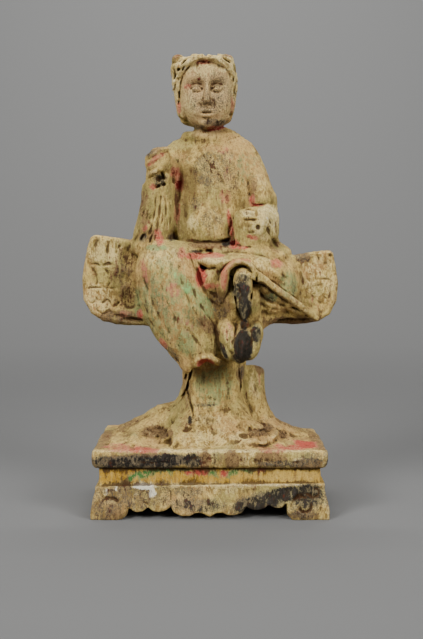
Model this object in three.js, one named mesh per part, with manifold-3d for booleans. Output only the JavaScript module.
// Carved wooden statue of a youth riding a crane, on a rock column and a waisted plinth.
// Millimetres, +Z up, front towards -Y, origin at the middle of the underside.
// The whole is one block of wood, so every carved form is joined into one solid.

import * as THREE from 'three';
import { mergeVertices } from 'three/addons/utils/BufferGeometryUtils.js';
import Module from 'manifold-3d';

const wasm = await Module();
wasm.setup();

// Driving sizes
const totalHeight = 244;
const plinth = {
  width: 123, depth: 82, corner: 3,
  footHeight: 17.5, waistTop: 26.3, slabTop: 35.5,
  waistWidth: 115, waistDepth: 74,
  recessTop: 8, wall: 7, lean: 2.4,
};
const wing = { span: 137.2, bottom: 98.5, top: 146.5, thickness: 11 };
const head = { x: -3, y: 2, width: 33, depth: 36, chin: 202.5 };
const postRadius = 16.5;

const wood = new THREE.MeshStandardMaterial({ color: 0xa48a5e, roughness: 0.85, metalness: 0 });

const vec = (a) => new THREE.Vector3(a[0], a[1], a[2]);

// A closed three.js geometry as a solid that can be joined and cut
function solid(geometry) {
  geometry.deleteAttribute('normal');
  geometry.deleteAttribute('uv');
  const merged = mergeVertices(geometry, 1e-4);
  return new wasm.Manifold(new wasm.Mesh({
    numProp: 3,
    vertProperties: new Float32Array(merged.attributes.position.array),
    triVerts: new Uint32Array(merged.index.array),
  }));
}

function join(list) {
  return list.reduce((all, next) => all.add(next));
}

// An egg-shaped mass, half sizes along X, Y and Z, turned in degrees
function egg(at, half, turn = [0, 0, 0], around = 10, high = 5) {
  const geometry = new THREE.SphereGeometry(1, around, high);
  geometry.rotateX(Math.PI / 2);
  geometry.scale(half[0], half[1], half[2]);
  const rad = turn.map(THREE.MathUtils.degToRad);
  geometry.applyMatrix4(new THREE.Matrix4().makeRotationFromEuler(new THREE.Euler(...rad)));
  geometry.translate(at[0], at[1], at[2]);
  return solid(geometry);
}

// A round-ended mass along a smooth curve. Each stop is [x, y, z, half width, half depth].
// flutes are shallow folds that run along it, and square above 2 makes its section boxy.
function limb(stops, options = {}) {
  const o = { side: [1, 0, 0], around: 12, rows: 5, flutes: 0, foldDepth: 0, phase: 0,
    square: 2, roundness: 0.6, ...options };
  const path = new THREE.CatmullRomCurve3(stops.map(vec), false, 'centripetal');
  const endRows = o.roundness < 0.5 ? 1 : 2;
  const last = o.rows + 2 * endRows;
  const geometry = new THREE.CylinderGeometry(1, 1, 1, o.around, last);
  const position = geometry.attributes.position;
  const sizeAt = (t, k) => {
    const u = Math.min(t * (stops.length - 1), stops.length - 1 - 1e-9);
    const i = Math.floor(u);
    const f = u - i;
    const ease = f * f * (3 - 2 * f);
    return THREE.MathUtils.lerp(stops[i][k], stops[i + 1][k], ease);
  };
  for (let i = 0; i < position.count; i++) {
    const row = Math.round((position.getY(i) + 0.5) * last);
    const inside = THREE.MathUtils.clamp(row - endRows, 0, o.rows);
    const t = inside / o.rows;
    const past = Math.max(endRows - row, row - endRows - o.rows, 0);
    const angle = (past / endRows) * 1.2;
    const width = sizeAt(t, 3);
    const depth = sizeAt(t, 4);
    const tangent = path.getTangent(t);
    const side = vec(o.side).addScaledVector(tangent, -vec(o.side).dot(tangent)).normalize();
    const front = new THREE.Vector3().crossVectors(side, tangent);
    const x = position.getX(i);
    const z = position.getZ(i);
    const radius = Math.hypot(x, z);
    const theta = Math.atan2(z, x);
    const box = (Math.abs(Math.cos(theta)) ** o.square + Math.abs(Math.sin(theta)) ** o.square)
      ** (-1 / o.square);
    const fold = 1 + o.foldDepth * Math.cos(o.flutes * theta + o.phase);
    const grow = radius * box * fold * Math.cos(angle);
    const push = Math.sin(angle) * o.roundness * Math.min(width, depth)
      * (row < endRows ? -1 : 1);
    const p = path.getPoint(t)
      .addScaledVector(side, Math.cos(theta) * width * grow)
      .addScaledVector(front, Math.sin(theta) * depth * grow)
      .addScaledVector(tangent, push);
    position.setXYZ(i, p.x, p.y, p.z);
  }
  return solid(geometry);
}

// A board cut to an outline in the X-Z plane, from y = back to y = front
function board(shape, front, back, segments = 3) {
  const geometry = new THREE.ExtrudeGeometry(shape,
    { depth: back - front, bevelEnabled: false, curveSegments: segments });
  geometry.rotateX(Math.PI / 2);
  geometry.translate(0, back, 0);
  return solid(geometry);
}

// A rectangular slab from z = bottom to top, its edges rounded by nosing. Above a third
// of its height each side leans in, by lean at the top.
function slab(width, depth, bottom, top, corner, nosing = 0, lean = 0) {
  const w = width / 2 - nosing;
  const d = depth / 2 - nosing;
  const shape = new THREE.Shape();
  shape.moveTo(-w + corner, -d);
  shape.lineTo(w - corner, -d);
  shape.quadraticCurveTo(w, -d, w, -d + corner);
  shape.lineTo(w, d - corner);
  shape.quadraticCurveTo(w, d, w - corner, d);
  shape.lineTo(-w + corner, d);
  shape.quadraticCurveTo(-w, d, -w, d - corner);
  shape.lineTo(-w, -d + corner);
  shape.quadraticCurveTo(-w, -d, -w + corner, -d);
  const rounded = Math.min(nosing, (top - bottom) * 0.45);
  const geometry = new THREE.ExtrudeGeometry(shape, {
    depth: top - bottom - 2 * rounded, curveSegments: 2, steps: lean > 0 ? 3 : 1,
    bevelEnabled: nosing > 0, bevelThickness: rounded, bevelSize: nosing, bevelSegments: 2,
  });
  geometry.translate(0, 0, bottom + rounded);
  const position = geometry.attributes.position;
  for (let i = 0; i < position.count; i++) {
    const up = Math.max(0, 1.5 * (position.getZ(i) - bottom) / (top - bottom) - 0.5);
    position.setX(i, position.getX(i) * (1 - (2 * lean * up) / width));
    position.setY(i, position.getY(i) * (1 - (2 * lean * up) / depth));
  }
  return solid(geometry);
}

// The space under an apron, below its cut edge. Each stop is where one arc of the edge ends
// and how far the arc swells below (hanging lobe) or above (arch) the straight line.
function underApron(left, right, stops, rise) {
  const shape = new THREE.Shape();
  shape.moveTo(left, -1);
  shape.lineTo(left, rise - 2);
  let [fromX, fromZ] = [left, rise - 2];
  for (const [x, z, swell] of stops) {
    shape.quadraticCurveTo((fromX + x) / 2, (fromZ + z) / 2 + 2 * swell, x, z);
    [fromX, fromZ] = [x, z];
  }
  shape.lineTo(right, rise - 2);
  shape.lineTo(right, -1);
  shape.closePath();
  return shape;
}

function plinthBody() {
  const { width, depth, corner } = plinth;
  const body = join([
    slab(width, depth, 0, plinth.footHeight, corner, 0, plinth.lean),
    slab(plinth.waistWidth, plinth.waistDepth, plinth.footHeight - 1, plinth.waistTop + 1, corner),
    slab(width - 1.5, depth - 1, plinth.waistTop, plinth.slabTop, corner, 3),
  ]);

  const frontEdge = [[-43, 7.6, 1], [-32.5, 5.8, -2.6], [-20.5, 6.4, -2.4], [-9, 3.3, -2.2],
    [0, 1.4, 0.6], [8, 3.3, 0.6], [18.5, 6.4, -2.4], [30, 7.2, -2], [39, 7.4, -1.4]];
  const sideEdge = [[-22, 7, 1], [-12, 5, -2], [0, 1.6, 0.6], [12, 5, 0.6], [22, 7, -2]];
  const frontGap = board(underApron(-46.5, 42.3, frontEdge, 7.4), -depth, depth);
  const sideGap = board(underApron(-27, 27, sideEdge, 7), -width, width)
    .rotate([0, 0, 90]);
  const under = new THREE.BoxGeometry(width - 4 * plinth.wall, depth - 4 * plinth.wall,
    2 * plinth.recessTop);
  return body.subtract(frontGap).subtract(sideGap)
    .subtract(solid(under));
}

// Bracket feet end in a small rolled scroll beside the opening
function footScrolls() {
  const list = [];
  const roll = 3.6;
  for (const [x, z] of [[-49, 6.6], [45.8, 6.9]]) {
    for (const s of [-1, 1]) {
      const geometry = new THREE.CylinderGeometry(roll, roll, 3, 10);
      geometry.translate(x, s * (plinth.depth / 2 - 1.2), z);
      list.push(solid(geometry));
    }
  }
  return list;
}

// Rock mound on the slab, the column, its roots and the stump behind it
function rock() {
  const top = plinth.slabTop;
  const list = [
    limb([[0, 1, top - 3, 58, 35], [0, 1, top + 0.6, 57, 34], [0, 1.6, top + 3.6, 53, 28],
      [0, 1.6, top + 8, 40, 23], [1, 1, 51, 25, 19.5], [2, 0, 60, 18, 16.5],
      [3, 0, 76, postRadius, 15], [2, 1, 100, 17, 16]],
    { around: 16, rows: 7, square: 2.6, roundness: 0.1 }),
    limb([[30, 12, 40, 11, 12], [28, 12, 52, 7.4, 9], [26.4, 11, 62, 6.2, 8], [26, 11, 70, 6, 7.4]],
      { rows: 3, around: 10 }),
  ];
  // roots running out to both ends and over the front and back edges
  const roots = [
    [[-8, 1, 58, 12, 11], [-21, 4, 49, 8, 12], [-35, 6, 44.5, 6.5, 14], [-50, 8, 38.5, 5, 14]],
    [[12, 3, 58, 10, 11], [26, 6, 48, 8, 13], [38, 8, 42.5, 7, 13], [51, 10, 38, 5, 13]],
    [[2, -4, 55, 15, 9], [2, -16, 44, 21, 7.5], [3, -28, 37, 25, 4.5]],
    [[0, 9, 56, 15, 10], [1, 24, 44, 20, 8], [2, 33, 38, 22, 4.5]],
  ];
  for (const stops of roots) {
    list.push(limb(stops, { rows: 2, around: 10, roundness: 0.4 }));
  }
  // oval curl mounds along the front
  const curls = [[-28.5, -27, 11, 6], [29, -27, 9, 5], [46, -25, 8, 5], [-49, -21, 7, 4.6]];
  for (const [x, y, w, h] of curls) {
    const ring = new THREE.TorusGeometry(1, 0.45, 4, 8);
    ring.scale(w * 0.72, h * 0.72, h * 0.8);
    ring.rotateX(THREE.MathUtils.degToRad(24));
    ring.translate(x, y, top + 1.2);
    list.push(solid(ring));
  }
  return list;
}

// One wing: a cupped plate with a thick lower edge and stepped rows of feathers
function wingBody(s) {
  const reach = wing.span / 2;
  const outline = (low, high, out, step) => {
    const shape = new THREE.Shape();
    shape.moveTo(0, low);
    shape.lineTo(s * (out - 14), low);
    shape.bezierCurveTo(s * (out - 4), low + 0.5, s * out, low + 8, s * out, low + 20);
    shape.bezierCurveTo(s * out, high - 14, s * (out - 3), high - 4, s * (out - 6), high);
    shape.lineTo(s * 30, high - step);
    shape.lineTo(0, high - step - 6);
    shape.closePath();
    return shape;
  };
  const high = s < 0 ? wing.top : wing.top - 8.5;
  const plate = board(outline(wing.bottom, high, reach, 3), -4, wing.thickness - 4);
  // the upper feathers stand a step prouder, with a scalloped lower edge
  const feather = 9;
  const covert = new THREE.Shape();
  covert.moveTo(s * 20, high - 4);
  covert.lineTo(s * 20, wing.bottom + 22);
  for (let i = 0; i < 4; i++) {
    const x = 20 + feather * i;
    covert.quadraticCurveTo(s * (x + feather / 2), wing.bottom + 17, s * (x + feather),
      wing.bottom + 22 + i);
  }
  covert.lineTo(s * (21 + 4 * feather), high - 4);
  covert.closePath();
  const coverts = board(covert, -5.6, 0, 2);
  const edge = limb([[s * 26, -9, wing.bottom + 5, 5, 6.5], [s * 44, -11, wing.bottom + 4.8, 4.8, 6.5],
    [s * 57, -11, wing.bottom + 6, 4.8, 6], [s * 63.2, -9, wing.bottom + 14, 4.4, 5],
    [s * 64.6, -7, wing.bottom + 26, 3.4, 4.5]], { side: [0, 0, 1], around: 8, rows: 5 });
  // swept a little forward towards the tip
  const sweep = new THREE.Matrix4().set(1, 0, 0, 0, -0.07 * s, 1, 0, 0, 0, 0, 1, 0, 0, 0, 0, 1);
  return plate.add(coverts).transform(sweep.elements).add(edge);
}

function crane() {
  const body = egg([1.5, 6, 107], [29, 30, 17], [0, 0, 0], 14, 7);
  const tail = limb([[2, 20, 110, 20, 9], [2, 30, 103, 19, 6], [2, 37.5, 94, 17, 2.6]],
    { around: 10, rows: 2 });
  const breast = egg([15.8, -30, 90.5], [11.5, 11, 11.3], [0, 0, 0], 12, 7);
  const neck = limb([[16.5, -30, 96, 7, 7], [18, -34, 104, 3.2, 4], [17.3, -35.5, 112, 5, 4.5],
    [17.2, -35.6, 119, 6.5, 5.4], [17.3, -34, 126, 6, 5]], { around: 10, rows: 7 });
  const bill = limb([[23, -35, 125.5, 4.4, 3.4], [34, -32, 118.5, 4, 3.4], [46, -26, 109, 3.2, 3.4],
    [56, -18, 101.8, 1.8, 2.6]], { side: [0, 0, 1], around: 8, rows: 5 });
  const billBack = limb([[24, -24, 121, 8, 8], [38, -20, 112, 6, 8], [50, -13, 105, 4, 6]],
    { side: [0, 0, 1], around: 8, rows: 3, roundness: 0.4 });
  const neckBack = limb([[14, -24, 92, 13, 10], [14, -25, 106, 13, 9], [15, -25, 120, 12, 8]],
    { around: 10, rows: 2, roundness: 0.4 });
  return join([body, tail, breast, neck, neckBack, bill, billBack, wingBody(-1), wingBody(1)]);
}

// The robe over the trunk, from the collar to the seat
function robe() {
  const trunk = limb([[1.8, 8, 108, 26, 25], [1.8, 7, 120, 26, 24], [1.8, 5, 131, 24, 21],
    [1.6, 4, 139, 21, 18], [1.6, 4, 152, 21, 19.5], [2.4, 5, 168, 24, 19], [3, 5, 182, 26, 17],
    [1.8, 5, 192, 21.5, 15], [0, 4.5, 199.5, 12.5, 11]],
  { around: 16, rows: 8, square: 2.3, roundness: 0.3 });
  const belly = egg([2.2, -6, 151], [15.6, 10.6, 13.5]);
  const belt = limb([[1.6, 4, 137.4, 22.4, 19.8], [1.6, 4, 140, 22.4, 19.8]],
    { around: 16, rows: 1, roundness: 0.06 });
  // the block is not cut through between the sleeves and the trunk
  const between = [[-20, 153, 8.6, 26], [24, 150, 9, 24]].map(([x, z, w, h]) => (
    egg([x, 6, z], [w, 11, h], [0, 0, 0], 8, 5)));
  const neck = limb([[-1, 4, 192, 8, 9], [-0.6, 3.6, 209, 7.2, 8.6]],
    { rows: 1, around: 12, roundness: 0.3 });
  const collar = new THREE.TorusGeometry(1, 0.2, 5, 12);
  collar.scale(11.4, 10.8, 10);
  collar.rotateX(THREE.MathUtils.degToRad(10));
  collar.translate(-1.2, 3.4, 199.4);
  return join([trunk, belly, belt, neck, ...between, solid(collar)]);
}

// Viewer's left arm: forearm raised, fist beside the shoulder, wide hanging sleeve
function raisedArm() {
  const upper = limb([[-15.5, 5, 190.5, 8, 10.5], [-24, 3, 180, 8.6, 11], [-29, -1, 166, 8.4, 11]]);
  const sleeve = limb([[-26.5, -7, 172, 8.2, 9], [-27.5, -7, 160, 9.8, 11],
    [-29.5, -7, 148, 10.6, 12.5], [-31, -7, 137, 9.6, 12.5]],
  { around: 16, rows: 3, flutes: 5, foldDepth: 0.08, roundness: 0.3 });
  const forearm = limb([[-28, -11, 170, 6.5, 6], [-27, -15, 180, 5.6, 5.5]], { rows: 1, around: 10 });
  const fist = egg([-27, -16, 184.6], [7, 6.5, 8.2], [0, 8, 0]);
  const fingers = [];
  for (let i = 0; i < 4; i++) {
    fingers.push(egg([-27.5 + 0.6 * i, -20.4, 190 - 3.6 * i], [5.8, 2.8, 2.1], [0, 10, 0], 8, 4));
  }
  const socket = new THREE.CylinderGeometry(1.5, 1.5, 8, 8);
  socket.translate(-25.2, -19.5, 177.6);
  return join([upper, sleeve, forearm, fist, ...fingers]).subtract(solid(socket));
}

// Viewer's right arm: upper sleeve with a level cuff edge, fist held before the belly
function restingArm() {
  const upper = limb([[18.5, 4, 191.5, 9, 11], [24.5, 2, 180, 9, 13], [28, -1, 170, 9, 14],
    [28.8, -2, 163.5, 8.6, 14.5]], { roundness: 0.1, around: 14 });
  const drape = limb([[28.5, 0, 164, 6.8, 11], [29.5, 0, 150, 7.4, 13], [35, -1, 135, 11, 14]],
    { roundness: 0.4 });
  const forearm = limb([[30, -8, 150, 9, 7], [24, -16, 150, 9.5, 6.5], [16.5, -19, 149.5, 10.5, 5]],
    { side: [0, 0, 1], square: 3.4, rows: 4, roundness: 0.3 });
  const hand = egg([21.5, -22, 146.5], [7, 5, 7]);
  const socket = new THREE.CylinderGeometry(1.4, 1.4, 8, 8);
  socket.translate(22.7, -26, 143.6);
  return join([upper, drape, forearm, hand]).subtract(solid(socket));
}

// Viewer's left leg: hanging, in wide trousers with long folds and a narrow hem
function hangingLeg() {
  const trouser = limb([[-20, -16, 133, 16, 14], [-20.6, -19, 124, 17.8, 15.5],
    [-17.4, -21, 111, 18.2, 15], [-12.5, -22, 99, 16, 13.5], [-6.5, -23, 87, 12.8, 11],
    [-2.2, -23, 77.5, 10, 9]],
  { around: 18, rows: 6, flutes: 6, foldDepth: 0.035, roundness: 0.25 });
  const thigh = limb([[-10, 2, 131, 14, 13], [-20, -14, 132.5, 14.5, 11]], { rows: 2 });
  return join([trouser, thigh]);
}

// Viewer's right leg: folded level, knee out to the side, its trouser end an arched cuff
function foldedLeg() {
  const thigh = limb([[10, 0, 124, 13, 12], [28, -4, 122, 12.5, 13], [40, -8, 121, 9, 10.5]],
    { side: [0, 0, 1], rows: 3 });
  const knee = egg([39.5, -12, 120.5], [9, 11, 10.5]);
  const shin = limb([[40, -15, 124, 7, 7], [27, -23, 126.5, 7.8, 8], [12, -25, 127.5, 6.5, 8],
    [-1, -22, 128.5, 3.6, 6]], { side: [0, 0, 1], rows: 5 });
  const cuffOuter = new THREE.Shape();
  cuffOuter.moveTo(3.8, 112);
  cuffOuter.lineTo(3.8, 122);
  cuffOuter.bezierCurveTo(4, 129.5, 9, 133.4, 15, 133.4);
  cuffOuter.bezierCurveTo(20, 133.4, 24.8, 129, 24.8, 122);
  cuffOuter.lineTo(24.8, 112);
  cuffOuter.closePath();
  const cuffInner = new THREE.Shape();
  cuffInner.moveTo(9, 108);
  cuffInner.lineTo(9, 121);
  cuffInner.bezierCurveTo(9.4, 127, 12, 129.8, 15.4, 129.8);
  cuffInner.bezierCurveTo(19, 129.8, 21.6, 126, 21.6, 121);
  cuffInner.lineTo(21.6, 108);
  cuffInner.closePath();
  const cuff = board(cuffOuter, -35, -18, 5).subtract(board(cuffInner, -40, -29, 5));
  const lap = egg([10, -17, 112], [20, 14, 17]);
  return join([thigh, knee, shin, cuff, lap]);
}

// Head: plain oval face, hair parted in the middle in combed bands, two small topknots
function headBody() {
  const { x, y, width, depth, chin } = head;
  const w = width / 2;
  const face = limb([[x + 2, y - 6, chin + 3, 6, 6], [x + 1.4, y - 4.4, chin + 8, 10.6, 10.6],
    [x + 0.8, y - 3.6, chin + 16, 13.2, 12.8], [x + 0.6, y - 2.6, chin + 26, 13.4, 13]],
  { around: 12, rows: 4 });
  const hair = limb([[x + 0.5, y + 5, chin + 7, w * 0.72, 9], [x + 0.2, y + 4, chin + 14, w * 0.94, 12],
    [x, y + 2.5, chin + 22, w, depth / 2 - 2], [x, y + 1.5, chin + 31, w * 1.02, depth / 2 - 1.5],
    [x - 0.3, y + 1, chin + 38, w * 0.93, depth / 2 - 4]],
  { around: 16, rows: 4, roundness: 0.22 });
  const opening = egg([x + 0.8, y - 17, chin + 12], [13, 11, 19], [0, 0, 0], 14, 8);
  const eyes = [-1, 1].map((s) => (
    egg([x + 1 + s * 5.6, y - 17.6, chin + 17.2], [3.6, 2.4, 2], [0, 0, s * 14], 8, 4)));
  const part = new THREE.BoxGeometry(1.4, 14, 10);
  part.translate(x + 0.6, y - 13, chin + 37);
  const knots = [[-14.6, 237.6], [9.6, 237.8]].map(([kx, kz]) => (
    egg([kx, y + 1, kz], [4.6, 6, 6], [0, 0, 0], 8, 5)));
  const tips = [[-16.4, 240.2, -12], [10.4, 240.2, 10]].map(([kx, kz, lean]) => (
    egg([kx, y + 1, kz], [2.8, 3.4, totalHeight - kz], [0, lean, 0], 8, 4)));
  const ears = [-1, 1].map((s) => (
    egg([x + 0.4 + s * (w - 2.4), y - 1, chin + 12.5], [1.8, 3.4, 5], [0, 0, 0], 6, 4)));
  const nose = limb([[x + 1, y - 16.6, chin + 19.5, 1.4, 1.6], [x + 1, y - 18, chin + 13.6, 2.3, 1.8]],
    { rows: 1, around: 8 });
  const lips = egg([x + 1, y - 14, chin + 8.6], [3.4, 1.8, 1.3], [0, 0, 0], 8, 4);
  const skull = hair.subtract(opening).subtract(solid(part)).add(face);
  return join([skull.subtract(join(eyes)), ...knots, ...tips, ...ears, nose, lips]);
}

const whole = join([plinthBody(), ...footScrolls(), ...rock(), crane(), robe(), raisedArm(),
  restingArm(), hangingLeg(), foldedLeg(), headBody()]);

// The joined solid as a named mesh
function asMesh(name, body, material) {
  const data = body.getMesh();
  const geometry = new THREE.BufferGeometry();
  geometry.setAttribute('position', new THREE.BufferAttribute(data.vertProperties, 3));
  geometry.setIndex(new THREE.BufferAttribute(data.triVerts, 1));
  geometry.computeVertexNormals();
  const mesh = new THREE.Mesh(geometry, material);
  mesh.name = name;
  return mesh;
}

const statue = new THREE.Group();
statue.add(asMesh('crane_rider_statue', whole, wood));

export default statue;
